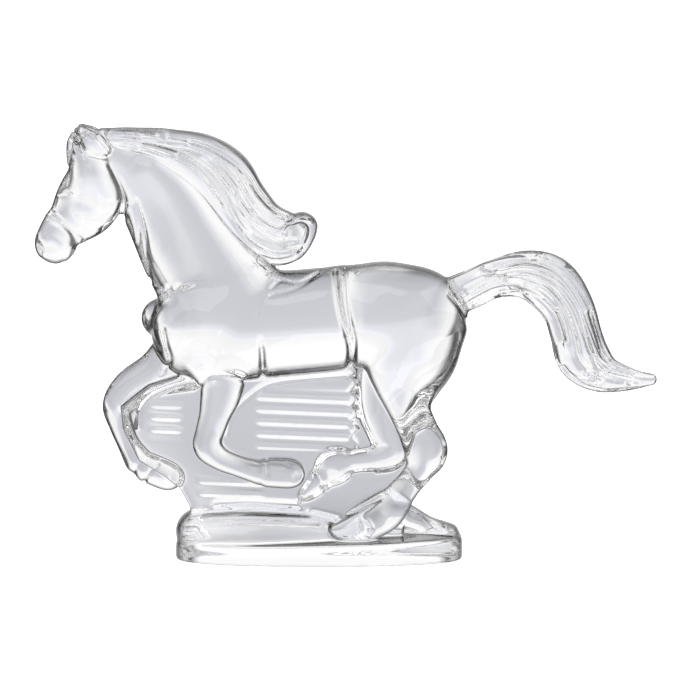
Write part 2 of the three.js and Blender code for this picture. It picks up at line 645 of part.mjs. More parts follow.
// The plinth: an oval slab with a small round at its foot, a larger one at its rim and a sloping top
function plinthGeometry() {
  const rings = [];
  for (let s = 0; s <= ROUND_STEPS; s++) {
    const turn = Math.PI / 2 * s / ROUND_STEPS;
    rings.push({ inset: PLINTH_FOOT_ROUND * (1 - Math.sin(turn)), height: PLINTH_FOOT_ROUND * (1 - Math.cos(turn)) });
  }
  for (let s = 0; s <= ROUND_STEPS; s++) {
    const turn = Math.PI / 2 * s / ROUND_STEPS;
    rings.push({ inset: PLINTH_RIM_ROUND * (1 - Math.cos(turn)), below: PLINTH_RIM_ROUND * (1 - Math.sin(turn)) });
  }
  const points = rings.flatMap(({ inset, height, below }) => Array.from({ length: PLINTH_SIDES }, (_, i) => {
    const [x, y] = ovalPoint(2 * Math.PI * (i + 0.5) / PLINTH_SIDES, inset);
    return [x, y, below === undefined ? height : plinthTop(x) - below];
  }));
  const triangles = [];
  for (let r = 0; r + 1 < rings.length; r++) {
    for (let i = 0; i < PLINTH_SIDES; i++) {
      const next = (i + 1) % PLINTH_SIDES;
      const [a, b] = [r * PLINTH_SIDES + i, r * PLINTH_SIDES + next];
      triangles.push([a, b, b + PLINTH_SIDES], [a, b + PLINTH_SIDES, a + PLINTH_SIDES]);
    }
  }
  const topRing = (rings.length - 1) * PLINTH_SIDES;
  const underside = points.push([0, 0, 0]) - 1;
  const crown = points.push([0, 0, plinthTop(0)]) - 1;
  for (let i = 0; i < PLINTH_SIDES; i++) {
    const next = (i + 1) % PLINTH_SIDES;
    triangles.push([underside, next, i], [crown, topRing + i, topRing + next]);
  }
  return makeGeometry({ points, triangles });
}

// Joins two closed geometries into one
async function joined(first, second) {
  const wasm = await Module();
  wasm.setup();
  const solids = [first, second].map((geometry) => {
    const merged = mergeVertices(geometry);
    return new wasm.Manifold(new wasm.Mesh({
      numProp: 3,
      vertProperties: new Float32Array(merged.attributes.position.array),
      triVerts: new Uint32Array(merged.index.array),
    }));
  });
  const { vertProperties, triVerts } = solids[0].add(solids[1]).getMesh();
  const geometry = new THREE.BufferGeometry();
  geometry.setAttribute('position', new THREE.BufferAttribute(vertProperties, 3));
  geometry.setIndex(new THREE.BufferAttribute(triVerts, 1));
  geometry.computeVertexNormals();
  return geometry;
}

const crystal = new THREE.MeshStandardMaterial({
  color: 0xf4f7f8,
  roughness: 0.02,
  metalness: 0,
  transparent: true,
  opacity: 0.35,
});

const horse = new THREE.Mesh(await joined(figureGeometry(), plinthGeometry()), crystal);
horse.name = 'crystal_horse';

const part = new THREE.Group();
part.add(horse);

export default part;
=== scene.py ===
"""A clear crystal galloping horse on its oval plinth, with the fine form of its hair and creases."""
import math

import bpy
import numpy as np
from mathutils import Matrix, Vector


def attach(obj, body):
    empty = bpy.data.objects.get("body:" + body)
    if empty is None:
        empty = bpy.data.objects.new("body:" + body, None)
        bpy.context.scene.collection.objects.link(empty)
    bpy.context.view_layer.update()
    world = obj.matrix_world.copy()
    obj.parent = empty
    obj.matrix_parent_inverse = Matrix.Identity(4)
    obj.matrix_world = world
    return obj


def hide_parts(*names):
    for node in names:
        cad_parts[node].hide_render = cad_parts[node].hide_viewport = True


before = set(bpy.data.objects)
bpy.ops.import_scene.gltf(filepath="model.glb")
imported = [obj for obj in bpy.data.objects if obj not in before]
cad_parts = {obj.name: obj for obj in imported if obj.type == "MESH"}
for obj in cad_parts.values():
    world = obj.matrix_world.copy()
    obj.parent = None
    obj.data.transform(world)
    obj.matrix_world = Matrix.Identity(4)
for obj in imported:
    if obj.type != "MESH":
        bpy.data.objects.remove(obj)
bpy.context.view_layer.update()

MM = 0.001

# Sizes in millimetres, as the solid has them apart from the finer ridges
PLINTH_LENGTH = 114.6
PLINTH_DEPTH = 42.0
PLINTH_HEIGHT = 8.6
PLINTH_TOP_FALL = 2.4
PLINTH_FOOT_ROUND = 0.8
PLINTH_RIM_ROUND = 2.2
PLINTH_SQUARENESS = 2.5
WEB_THICKNESS = 9.6
RIDGE_DEPTH = 0.6
RIDGE_PITCH = 5.0
RIDGE_TILT = 0.042
RIDGE_SHARPNESS = 5
RIDGE_MIDDLE = 0.3

# Rounding of the web's edge, and where the web and the plinth join the rest
WEB_EDGE_ROUND = 3
WEB_BLEND = 3
PLINTH_BLEND = 3

PLINTH_HALF = PLINTH_LENGTH / 2
PLINTH_DEEP = PLINTH_DEPTH / 2

# Cells that the form is worked out in, the corners of their block, and how far a distance is followed
CELL = 0.6
FORM_LOW = (-118.0, -26.0, -2.5 * CELL)
FORM_HIGH = (140.0, 26.0, 182.0)
BAND = 6.0

# Fineness of the splines and of the mesh
SPAN_STEPS = 16
CREASE_STEP = 4
TRIANGLES = 190000
SETTLE_ROUNDS = 3
SETTLE_SHARE = 0.8
LEAST_SLOPE = 0.3
TINY = 1e-6

# Locks of hair: the fade at a limb's ends, the wander along and around it, and the shape of a lock
LOCK_FADE = 0.12
LOCK_WAVES_ALONG = 9
LOCK_WAVES_AROUND = 11
LOCK_DRIFT = 4
LOCK_SHARPNESS = 0.9
LOCK_MIDDLE = 0.55


def both_sides(stations):
    """The same stations on the near side and on the far side."""
    return [[(x, z, y * side, w, d) for x, z, y, w, d in stations] for side in (-1, 1)]


CHEEKS = both_sides([(-89.4, 155, 4.4, 8.2, 4), (-89, 147.5, 4, 10, 3.8), (-91, 143, 3.6, 8.5, 3.2)])
EARS = both_sides([
    (-87.2, 165.8, 4.8, 4.6, 2.8), (-90.2, 169.8, 5.6, 4, 2.4), (-94.8, 174.2, 3.6, 1.4, 1.4)])
STRANDS = both_sides([
    (-94.2, 173, 2.6, 1.9, 2.2), (-96.4, 169.6, 3.4, 2, 2), (-96, 165.6, 4, 1.7, 1.8),
    (-94.4, 162.8, 4.6, 0.9, 1)])

# Each limb: rounding where it joins, squareness of its section, locks of hair as (count, depth, twist),
# and its stations (x, z, y, half width in the side view, half depth across)
LIMBS = [
    # Barrel and the two shoulders
    (2, 2.2, None, [
        (-47.5, 92.5, 0, 19.5, 13.5), (-36, 94.5, 0, 22.2, 16.5), (-15, 95.5, 0, 20.8, 17.3),
        (3, 97, 0, 20.6, 16.6), (9.5, 98, 0, 20.5, 15.6), (12.5, 98.2, 0, 20.4, 14.9),
        (18.5, 98.3, 0, 20.8, 16.6), (28, 98.3, 0, 21.6, 16.9), (40, 96.5, 0, 19.6, 15)]),
    (4, 2, None, [(-30, 106, -7.5, 9, 7), (-43, 97, -8.5, 14, 9), (-56.5, 95, -7.5, 9.5, 6.5)]),
    (4, 2, None, [(-30, 106, 7.5, 9, 7), (-46, 97, 8.5, 14, 9), (-63, 96, 7.5, 8, 6.5)]),
    # Neck and its crest
    (6, 2, None, [
        (-38, 106, 0, 23, 13.2), (-50, 123, 0, 20.5, 10.4), (-60.5, 141, 0, 17.5, 8.2),
        (-71.5, 154.5, 0, 13.5, 6.8), (-82, 162.5, 0, 9.5, 5.8), (-88, 164.5, 0, 8, 5)]),
    (6, 2, None, [
        (-34, 110, 0, 16, 13.4), (-44.5, 128, 0, 12.6, 11.8), (-54.5, 145.6, 0, 10, 9.4),
        (-66, 158, 0, 7, 7.4)]),
    # Head, muzzle, corner of the jaw, cheeks and ears
    (0.6, 2.1, None, [
        (-91, 162.5, 0, 8.3, 7), (-89.9, 154, 0, 10.7, 8.2), (-91.8, 145, 0, 13.2, 6.6),
        (-97.3, 137.8, 0, 10.4, 5.4), (-101.6, 134.4, 0, 8.8, 5)]),
    (0.6, 2.2, None, [
        (-103.4, 132, 0, 8.3, 5.6), (-104.9, 128, 0, 8.5, 6.2), (-105.7, 126.6, 0, 7.3, 5.6)]),
    (1.2, 2, None, [(-88, 144.6, 0, 9, 5.6), (-84.4, 141.6, 0, 5, 4.4)]),
    (1.2, 2, None, CHEEKS[0]),
    (1.2, 2, None, CHEEKS[1]),
    (0.6, 2, None, EARS[0]),
    (0.6, 2, None, EARS[1]),
    # Near hind leg and its hoof
    (3, 2, None, [
        (33, 99, -6, 15.4, 11.2), (34.4, 84.5, -6.6, 16.4, 9.4), (34.6, 75, -7, 13.2, 7.8),
        (36, 62.5, -7.6, 8.7, 6.4), (39.6, 53, -8, 8.1, 5.6), (42.7, 45, -8, 8.8, 5.4),
        (41, 38.5, -8, 6.2, 4.8), (36.6, 32.5, -8.4, 5.4, 4.8), (32, 27, -9, 5.9, 5.2)]),
    (0.8, 2, None, [
        (31, 25, -9.6, 6.3, 5.6), (25, 20, -10.5, 8.3, 6.6), (17, 16, -11, 7.4, 6.8),
        (9.5, 13.8, -11.5, 4.4, 5.6), (6.5, 13.6, -11.5, 2.4, 4.4)]),
    # Haunch
    (4, 2, None, [
        (38.6, 100.6, 0, 17, 16.6), (39.4, 86, 0, 17.2, 14.8), (36.8, 75, 0, 13.8, 12.6),
        (36, 66.5, 0, 9.6, 9.5), (36.4, 60, 0, 7.4, 7)]),
    # Far hind leg and its hoof
    (3, 2, None, [
        (31, 99, 6, 15.4, 11.2), (31, 83, 6.8, 15.5, 9.4), (27.5, 71, 7.4, 13, 7.6),
        (26.5, 60, 8, 10.8, 6.2), (28, 51, 8, 8.6, 5.6), (29.5, 43.5, 7.5, 7.6, 5.4),
        (23, 39.6, 7, 5.4, 4.8), (14.6, 38.4, 6.5, 4.6, 4.2), (10.6, 37.6, 6.5, 5, 4.6),
        (6, 36.4, 6.5, 6.9, 6.2), (2.2, 33, 6.5, 4.4, 4.4)]),
    (1, 2, None, [(0.8, 31.4, 6.5, 4.6, 5), (-3, 27.4, 6.5, 3.4, 4.6), (-6, 24.6, 6.5, 2, 3.6)]),
    # Near fore leg and its hoof
    (3, 2, None, [
        (-42, 88, -7.5, 15, 8.5), (-38.8, 74, -9, 9.6, 7), (-40.5, 62, -8.8, 7.2, 6),
        (-43.5, 52.8, -8.2, 5.8, 5.1), (-44.3, 46.6, -8.2, 5.9, 5.2), (-39.5, 41.5, -7.8, 4.6, 4.4),
        (-31, 38, -7.6, 4.2, 4), (-23, 35.7, -8, 4.8, 4.6)]),
    (0.5, 2.4, None, [
        (-20, 36, -8.4, 5.8, 5.2), (-12, 35.6, -8.6, 5.8, 5.6), (-10, 35.4, -8.6, 4.2, 4.6)]),
    # Far fore leg and its hoof
    (3, 2, None, [
        (-52, 82, 6, 14, 8.5), (-64, 74.5, 8, 9, 7), (-75, 67.5, 9, 7.6, 6), (-80.6, 60.5, 9, 6, 5.4),
        (-79.3, 52.5, 8.5, 4.8, 4.6), (-76.2, 45, 8, 4.6, 4.4), (-72.3, 38.4, 7.5, 5.7, 5)]),
    (0.8, 2.4, None, [(-68, 35.2, 7, 6.2, 5.6), (-61, 32.2, 7, 6, 5.8), (-59.3, 31.8, 7, 4.6, 4.8)]),
    # Spur of the mound behind the hind legs, and the mound
    (3, 2, (4, 0.5, 0), [
        (29, 19, 1, 6, 6), (36.4, 15.4, 3, 5, 6), (44, 12.2, 4, 3.6, 5),
        (PLINTH_HALF - 4.6, 10.2, 3, 3, 7)]),
    (4, 2, None, [
        (8.6 - PLINTH_HALF, 11, 0, 8.6, PLINTH_DEEP * 0.56), (-30, 9, 0, 12.6, PLINTH_DEEP * 0.74),
        (-8, 8.6, 0.5, 11.4, PLINTH_DEEP * 0.68), (12, 7.6, 2, 7.4, PLINTH_DEEP * 0.56),
        (28, 6, 4, 5, PLINTH_DEEP * 0.5), (42, 5, 4, 3, PLINTH_DEEP * 0.4)]),
]

# The hair, in the same form
HAIR = [
    # Forelock and its strands
    (0.3, 2, None, [
        (-88, 170.6, 0, 2.6, 3.4), (-94.6, 172.8, 0, 2.4, 3), (-98.3, 168.8, 0, 2, 2.6),
        (-98.9, 164, 0, 1.8, 2.2), (-99.6, 159.8, 0, 0.8, 1.2)]),
    *((0.2, 2, None, strand) for strand in STRANDS),
    # Mane, its upper edge and its curl
    (0.6, 2, (5, 1.0, 0.05), [
        (-86, 170, 0, 4.2, 5), (-74, 168.5, 0, 5.5, 6.2), (-60, 165, 0, 8.4, 7.6),
        (-46, 158.5, 0, 11.5, 8.8), (-36.5, 148, 0, 11.8, 9), (-28, 137, 0, 12, 8.4),
        (-17, 129.6, 0, 10.6, 6.6), (-11, 129.6, 0, 8, 5)]),
    (0.5, 2, (3, 0.6, 0.05), [
        (-84, 171.5, 0, 2.6, 4.4), (-62, 169.8, 0, 3.6, 6), (-46, 166, 0, 5.5, 8),
        (-34.6, 158.2, 0, 6.9, 9.6), (-27, 147.6, 0, 6, 8.6), (-18.8, 139.8, 0, 4, 6.4),
        (-10, 137.6, 0, 1.8, 4)]),
    (0.6, 2, None, [
        (-14, 120.8, 0, 1.6, 3), (-8.4, 123.4, 0, 2.2, 4.6), (-4.2, 129.6, 0, 2.4, 5.2),
        (-3, 135.4, 0, 2.4, 5), (-6.8, 138, 0, 2.2, 5.4), (-12, 136.2, 0, 1.7, 6.2),
        (-16, 132.8, 0, 1.3, 6.8)]),
    # Tail
    (2, 2, (5, 1.0, 0.08), [
        (48, 104, 0, 8, 6), (60, 108.7, 0, 7.6, 5.4), (70, 113.2, 0, 7.6, 5.6), (82, 115, 0, 9.2, 6.6),
        (92, 111.3, 0, 11, 7.6), (99.5, 102, 0, 10.5, 7.8), (102.7, 92, 0, 10.4, 7.4),
        (105.5, 82, 0, 10.6, 6.8), (113, 75, 0, 7.4, 5.6), (124, 72.6, 0, 4.2, 3.8),
        (132.6, 72.4, 0, 2.4, 2.2)]),
]

# Outline of the web in the side view, and its ridged panels as (x from, x to, z from, z to)
WEB_OUTLINE = [
    (-79, 61), (-68, 70), (-50, 76), (-20, 82), (10, 86), (34, 86), (38, 50), (37, 30), (33, 10),
    (-48, 10), (-51.5, 21), (-55.5, 28.5), (-61, 33), (-72, 40), (-78, 52)]
RIDGE_PANELS = [(-27, 15, 42, 71), (-69, -53, 47, 65), (-50, -20, 20, 35)]
PANEL_FADE = 5.0

# Partings between the locks, as lines in the side view
MANE_PARTINGS = [
    [(-51, 170.2), (-43, 167.6), (-33, 161.6), (-27.6, 156), (-23.6, 149), (-18, 142.6), (-12, 139.4)],
    [(-70, 170.4), (-56, 169), (-44, 165.4), (-35, 158.6), (-29.4, 149.6), (-24.4, 141.6), (-18.4, 136.6),
     (-12, 136.6)],
    [(-64, 169), (-50, 166.4), (-38.6, 159), (-32.4, 150.6), (-27, 141.6), (-21.4, 135.6), (-15, 133.6)],
    [(-60, 168.6), (-48, 164), (-38, 155), (-31, 143.6), (-24.6, 135.6), (-17, 130.6), (-9, 131)],
    [(-56, 165.6), (-46, 160), (-38, 150), (-33, 139.6), (-26, 130.6), (-17, 126.4), (-8, 127.4)]]
TAIL_PARTINGS = [
    [(68.4, 118.7), (82.6, 121.9), (97, 117.9), (106.4, 105.8), (110.2, 94.3), (112.3, 86.1),
     (115.5, 79.9)],
    [(58.9, 111.1), (69.3, 115.8), (82.3, 118.2), (94.3, 114.4), (102.7, 103.8), (106.2, 93.1),
     (108.7, 83.9), (114.2, 77.3), (124.2, 74.1)],
    [(81.9, 114.1), (91.3, 110.4), (98.6, 101.5), (101.7, 91.7), (104.6, 81.4), (112.7, 74.3)],
    [(61.6, 105.3), (71.1, 109.6), (81.6, 110.4), (88.7, 106.9), (94.9, 99.5), (97.7, 90.5)]]

# How far in front of the middle a crease lies as drawn, and its fall for each millimetre further back
CREASED_SIDE = 12.0
CREASE_FALL = 0.176

# Creases pressed into both sides of the horse, as (half width, depth, line in the side view)
HORSE_CREASES = [
    # Flank, girth and chest
    (1.1, 1.6, [(6.5, 118), (7.4, 108), (9, 100), (11, 93), (12.4, 87), (12, 80), (11, 76)]),
    (0.9, 1.3, [(10.4, 119), (11.2, 106), (12.6, 97), (14.2, 90), (13.8, 82), (12.8, 77)]),
    (0.9, 1.2, [(-23.4, 90.6), (-22.8, 87), (-22.6, 80)]),
    (1.4, 1.4, [(-22.8, 86.4), (-22.4, 82), (-22.4, 77)]),
    (1.1, 1.2, [(-59.6, 111.4), (-57.6, 110), (-56, 111.8)]),
    (0.9, 1.0, [(-62, 95), (-60.5, 88), (-59.2, 82), (-62, 78)]),
    # Throat, jaw, halter, eye, nostril and mouth
    (0.7, 0.8, [(-72.5, 147), (-70.5, 140), (-69, 133), (-68.4, 125), (-67, 114)]),
    (0.8, 1.1, [(-83.5, 161), (-79.5, 153.5), (-77.2, 147), (-77.4, 142), (-79, 136)]),
    (0.6, 0.9, [(-106, 142.2), (-104, 140.4), (-99.3, 136.3), (-96, 133.6), (-94, 132)]),
    (0.6, 0.9, [(-107.6, 138.8), (-104.2, 138), (-99.8, 135), (-97.4, 132)]),
    (0.6, 0.35, [(-101.2, 148.8), (-98.4, 149.3)]),
    (0.7, 0.9, [(-111.4, 129.2), (-110.4, 127.8), (-110, 126.4)]),
    (0.5, 0.5, [(-111, 123.5), (-107, 122), (-102, 122.2)]),
    # Ear and forelock
    (0.8, 1.0, [(-94, 174.6), (-91.4, 173.4), (-88, 171.2), (-84.6, 167.2)]),
    (0.7, 1.1, [(-97.4, 174.6), (-95.6, 170.6), (-94, 166.8)]),
    (0.6, 0.8, [(-98.6, 172.6), (-97, 169.6), (-95.6, 167)]),
    (0.7, 0.8, [(-92.6, 165), (-88, 164.4), (-84, 164.6)]),
    # Withers and dock
    (0.8, 1.0, [(-19, 108.5), (-10, 110.8), (-3, 115), (1, 118.5)]),
    (0.7, 0.8, [(-18.5, 111.5), (-15, 114.4), (-8.5, 113.4), (-1, 117)]),
    (0.8, 1.0, [(52, 108.4), (56.4, 103), (59, 98), (61.5, 93)]),
    # Legs and hooves
    (0.8, 1.0, [(-50, 68.5), (-47, 72), (-43.5, 76), (-36, 75.6), (-28, 73.4), (-22, 72.6)]),
    (0.7, 1.0, [(-64.4, 41), (-67.6, 37), (-71, 31)]),
    (0.6, 0.8, [(4.6, 27), (1.5, 31.5), (-1.2, 37.5)]),
    (0.7, 0.8, [(19.4, 17.6), (21.4, 14.6), (20.4, 12.6)]),
    (1.0, 1.3, [(6.5, 16.8), (11, 19), (16.5, 21.8), (21.5, 24.4), (25, 26.4)]),
    (1.0, 1.3, [(13.4, 36.6), (17, 37.4), (21.4, 37.6)]),
    (0.7, 0.9, [(-20.8, 42.6), (-20.6, 39), (-20.2, 36)]),
    (0.6, 0.7, [(-13, 40.6), (-9.5, 38.6), (-7.4, 35.4)]),
    # Tail and mane
    (1.0, 1.6, [(107.4, 101), (110.6, 92), (113.2, 84)]),
    (0.9, 1.4, [(83.4, 102.4), (88, 97), (90.8, 89), (92.6, 82)]),
    (0.8, 1.2, [(65.5, 119.4), (70, 118), (75, 115.4)]),
    (0.8, 1.1, [(98, 80.6), (100.4, 77), (105, 74.8), (110.4, 73.8), (111, 75.6), (106, 77.4)]),
    *((0.8, 1.2, parting) for parting in MANE_PARTINGS),
    *((0.9, 1.1, parting) for parting in TAIL_PARTINGS),
]

# Creases pressed into the web and the mound, in the same form
BASE_CREASES = [
    (0.8, 0.9, [(-36.5, 51), (-35, 58), (-30, 64), (-22, 70), (-14, 72.2), (0, 73.5), (12, 74.5)]),
    (0.8, 0.8, [(12, 74), (14.4, 71), (12, 68), (14.6, 65), (12.2, 62), (15, 59), (12.4, 56), (15, 53),
                (12.8, 50), (15, 47)]),
    (0.8, 0.9, [(-72, 54), (-71.4, 60), (-67, 66), (-60, 69.6), (-50, 72.4)]),
    (0.8, 0.8, [(-42, 22.6), (-28, 23.2), (-8, 22.2)]),
    (0.8, 0.8, [(-46, 19.2), (-28, 19.8), (-4, 18.8)]),
    (0.8, 0.8, [(-45, 15.6), (-28, 16.6), (0, 15.4)]),
]


def spline_samples(stations):
    """Stations filled in along a Catmull-Rom spline."""
    p = np.array(stations, float)
    p = np.vstack([2 * p[0] - p[1], p, 2 * p[-1] - p[-2]])
    t = np.arange(SPAN_STEPS)[:, None] / SPAN_STEPS
    rows = []
    for a, b, c, d in zip(p[:-3], p[1:-2], p[2:-1], p[3:]):
        square = 2 * a - 5 * b + 4 * c - d
        cube = 3 * b - a - 3 * c + d
        rows.append(0.5 * (2 * b + (c - a) * t + square * t**2 + cube * t**3))
    return np.vstack(rows + [p[-2:-1]])


def smooth_min(a, b, k):
    """Smooth minimum of two distances, rounded over a length k."""
    h = np.maximum(k - np.abs(a - b), 0) / k
    return np.minimum(a, b) - h * h * h * k / 6


def smooth_max(a, b, k):
    """Smooth maximum of two distances, rounded over a length k."""
    return -smooth_min(-a, -b, k)


def smooth_step(v, low, high):
    """Zero below low, one above high, and a smooth rise between."""
    t = np.clip((v - low) / (high - low), 0, 1)
    return t * t * (3 - 2 * t)


def nearest_on_limb(samples, px, pz):
    """For each point of the side view: nearness in half widths, and what the limb is like there.

    That is the side of the limb, the place along it, and its y, half width and half depth.
    """
    across = np.full(px.shape, np.inf)
    found = np.zeros((5,) + px.shape)
    spans = len(samples) - 1
    for i in range(spans):
        ax, az, ay, aw, ad = samples[i]
        dx, dz, dy, dw, dd = samples[i + 1] - samples[i]
        t = np.clip(((px - ax) * dx + (pz - az) * dz) / (dx * dx + dz * dz), 0, 1)
        ox = px - ax - t * dx
        oz = pz - az - t * dz
        w = aw + dw * t
        share = np.hypot(ox, oz) / w
        side = np.where(dx * oz - dz * ox < 0, -1.0, 1.0)
        values = (side, (i + t) / spans, ay + dy * t, w, ad + dd * t)
        closer = share < across
        across = np.where(closer, share, across)
        for k, value in enumerate(values):
            found[k] = np.where(closer, value, found[k])
    return across, found


def line_distance(line, px, pz):
    """Distance in the side view to a line of points."""
    nearest = np.full(px.shape, np.inf)
    for (ax, az), (bx, bz) in zip(line[:-1], line[1:]):
        dx, dz = bx - ax, bz - az
        t = np.clip(((px - ax) * dx + (pz - az) * dz) / (dx * dx + dz * dz), 0, 1)
        nearest = np.minimum(nearest, np.hypot(px - ax - t * dx, pz - az - t * dz))
    return nearest


def outline_distance(outline, px, pz):
    """Signed distance in the side view to a closed outline, negative inside."""
    inside = np.zeros(px.shape, bool)
    closed = outline + outline[:1]
    for (ax, az), (bx, bz) in zip(closed[:-1], closed[1:]):
        if az != bz:
            inside ^= ((az > pz) != (bz > pz)) & (px < ax + (pz - az) / (bz - az) * (bx - ax))
    return np.where(inside, -1, 1) * line_distance(closed, px, pz)


class Field:
    """Distances to the form, on a grid of points."""

    def __init__(self):
        self.low = np.array(FORM_LOW)
        count = np.ceil((np.array(FORM_HIGH) - self.low) / CELL).astype(int) + 1
        self.x, self.y, self.z = (start + np.arange(n) * CELL for start, n in zip(self.low, count))
        self.px, self.pz = np.meshgrid(self.x, self.z, indexing="ij")
        self.values = np.full(count, BAND, np.float32)

    def add_limb(self, blend, power, locks, stations):
        """Joins a limb, its section an oval across the side view."""
        s = spline_samples(stations)
        spans = [(self.x, s[:, 0], s[:, 3]), (self.y, s[:, 2], s[:, 4]), (self.z, s[:, 1], s[:, 3])]
        cuts = [slice(*np.searchsorted(axis, [(at - half).min() - BAND, (at + half).max() + BAND]))
                for axis, at, half in spans]
        across, found = nearest_on_limb(s, self.px[cuts[0], cuts[2]], self.pz[cuts[0], cuts[2]])
        q = across[:, None, :]
        side, along, yc, w, d = found[:, :, None, :]
        p = np.abs(self.y[None, cuts[1], None] - yc) / d
        r = np.maximum((q**power + p**power) ** (1 / power), TINY)
        slope = r ** (1 - power) * np.hypot(q ** (power - 1) / w, p ** (power - 1) / d)
        distance = np.maximum((r - 1) / np.maximum(slope, TINY), -np.minimum(w, d))
        if locks:
            count, depth, twist = locks
            angle = np.arctan2(p, q * side) / math.pi
            fade = smooth_step(np.minimum(along, 1 - along), 0, LOCK_FADE)
            around = np.sin(LOCK_WAVES_AROUND * angle + LOCK_DRIFT * along)
            wander = twist * (np.sin(LOCK_WAVES_ALONG * along) + around)
            ridge = np.abs(np.sin(math.pi * count * (angle + wander))) ** LOCK_SHARPNESS
            distance = distance + depth * fade * (LOCK_MIDDLE - ridge)
        part = self.values[cuts[0], cuts[1], cuts[2]]
        part[...] = smooth_min(part, np.clip(distance, -BAND, BAND), blend)

    def soften(self):
        """Evens out the joints of the limbs by a narrow blur along each axis."""
        for axis in range(3):
            lower = np.roll(self.values, 1, axis)
            upper = np.roll(self.values, -1, axis)
            self.values = 0.25 * lower + 0.5 * self.values + 0.25 * upper

    def press_creases(self, creases, fall):
        """Presses creases into both sides, each lower by a share of the way across."""
        pressed = np.zeros(self.px.shape)
        for half, depth, line in creases:
            away = line_distance(spline_samples(line)[::CREASE_STEP], self.px, self.pz)
            pressed += depth * np.exp(-(away / half) ** 2)
        for j, y in enumerate(self.y):
            cells, rest = divmod(fall * (y + CREASED_SIDE) / CELL, 1)
            level = np.roll(pressed, -int(cells), 1)
            self.values[:, j] += (1 - rest) * level + rest * np.roll(level, -1, 1)

    def add_web(self):
        """Joins the web, its faces waved into level ridges inside its panels."""
        edge = outline_distance(WEB_OUTLINE, self.px, self.pz)
        share = np.zeros(self.px.shape)
        for x0, x1, z0, z1 in RIDGE_PANELS:
            inward = np.minimum(self.px - x0, x1 - self.px)
            inward = np.minimum(inward, np.minimum(self.pz - z0, z1 - self.pz))
            share = np.maximum(share, smooth_step(inward, 0, PANEL_FADE))
        turn = math.pi * (self.pz + RIDGE_TILT * self.px) / RIDGE_PITCH
        wave = np.abs(np.cos(turn)) ** RIDGE_SHARPNESS
        half = WEB_THICKNESS / 2 + RIDGE_DEPTH * (wave - RIDGE_MIDDLE) * share
        face = np.abs(self.y)[None, :, None] - half[:, None, :]
        plate = smooth_max(edge[:, None, :], face, WEB_EDGE_ROUND)
        self.values = smooth_min(self.values, plate, WEB_BLEND)

    def add_plinth(self):
        """Joins the plinth, an oval slab with a rounded rim and foot and a sloping top."""
        n = PLINTH_SQUARENESS
        qx = (np.abs(self.x) / PLINTH_HALF)[:, None, None]
        qy = (np.abs(self.y) / PLINTH_DEEP)[None, :, None]
        r = np.maximum((qx**n + qy**n) ** (1 / n), TINY)
        slope = r ** (1 - n) * np.hypot(qx ** (n - 1) / PLINTH_HALF, qy ** (n - 1) / PLINTH_DEEP)
        side = (r - 1) / np.maximum(slope, TINY)
        height = PLINTH_HEIGHT + PLINTH_TOP_FALL * self.x[:, None, None] / PLINTH_LENGTH
        top = self.z[None, None, :] - height
        slab = smooth_max(side, top, 2 * PLINTH_RIM_ROUND)
        self.values = smooth_min(self.values, slab, PLINTH_BLEND)
        under = -self.z[None, None, :]
        self.values = smooth_max(self.values, under, 2 * PLINTH_FOOT_ROUND)


def wrap_surface(field):
    """Closed skin of the zero level: one point to each cell that it passes through."""
    values = field.values
    inside = values < 0
    nx, ny, nz = values.shape
    corners = [(i, j, k) for i in (0, 1) for j in (0, 1) for k in (0, 1)]
    total = sum(inside[i:nx - 1 + i, j:ny - 1 + j, k:nz - 1 + k].astype(np.int8) for i, j, k in corners)
    active = (total > 0) & (total < len(corners))
    cells = np.argwhere(active)
    number = np.full(active.shape, -1, np.int64)
    number[active] = np.arange(len(cells))
    level = {c: values[tuple((cells + c).T)] for c in corners}
    place = np.zeros((len(cells), 3))
    crossings = np.zeros(len(cells))
    for corner in corners:
        for axis in range(3):
            if corner[axis]:
                continue
            other = tuple(1 if n == axis else v for n, v in enumerate(corner))
            a, b = level[corner], level[other]
            crossed = (a < 0) != (b < 0)
            point = np.tile(np.array(corner, float), (len(cells), 1))
            point[:, axis] = a / np.where(crossed, a - b, 1)
            place += np.where(crossed[:, None], point, 0)
            crossings += crossed
    points = field.low + (cells + place / crossings[:, None]) * CELL
    faces = []
    for axis in range(3):
        u, v = (axis + 1) % 3, (axis + 2) % 3
        here = np.take(inside, range(values.shape[axis] - 1), axis)
        there = np.take(inside, range(1, values.shape[axis]), axis)
        edges = np.argwhere(here != there)
        step_u, step_v = np.eye(3, dtype=int)[[u, v]]
        ring = [edges - a * step_u - b * step_v for a, b in ((1, 1), (0, 1), (0, 0), (1, 0))]
        quads = np.stack([number[tuple(cell.T)] for cell in ring], 1)
        outward = inside[tuple(edges.T)]
        quads[~outward] = quads[~outward][:, ::-1]
        faces.append(quads)
    return points, np.vstack(faces)


def sample(grid, low, points):
    """Values of a grid at points between its own."""
    at = (points - low) / CELL
    base = np.clip(np.floor(at).astype(int), 0, np.array(grid.shape[:3]) - 2)
    t = at - base
    total = 0
    for i in (0, 1):
        for j in (0, 1):
            for k in (0, 1):
                share = np.abs(1 - i - t[:, 0]) * np.abs(1 - j - t[:, 1]) * np.abs(1 - k - t[:, 2])
                value = grid[base[:, 0] + i, base[:, 1] + j, base[:, 2] + k]
                total = total + value * (share[:, None] if value.ndim > 1 else share)
    return total


def settle_points(field, points):
    """Moves the points on to the zero level, and gives the way that the form faces at each."""
    gradient = np.stack(np.gradient(field.values, CELL), -1)
    for _ in range(SETTLE_ROUNDS):
        value = sample(field.values, field.low, points)
        slope = sample(gradient, field.low, points)
        length = np.maximum(np.linalg.norm(slope, axis=1), LEAST_SLOPE)
        points = points - (value / length**2)[:, None] * slope * SETTLE_SHARE
    slope = sample(gradient, field.low, points)
    return points, slope / np.linalg.norm(slope, axis=1)[:, None]


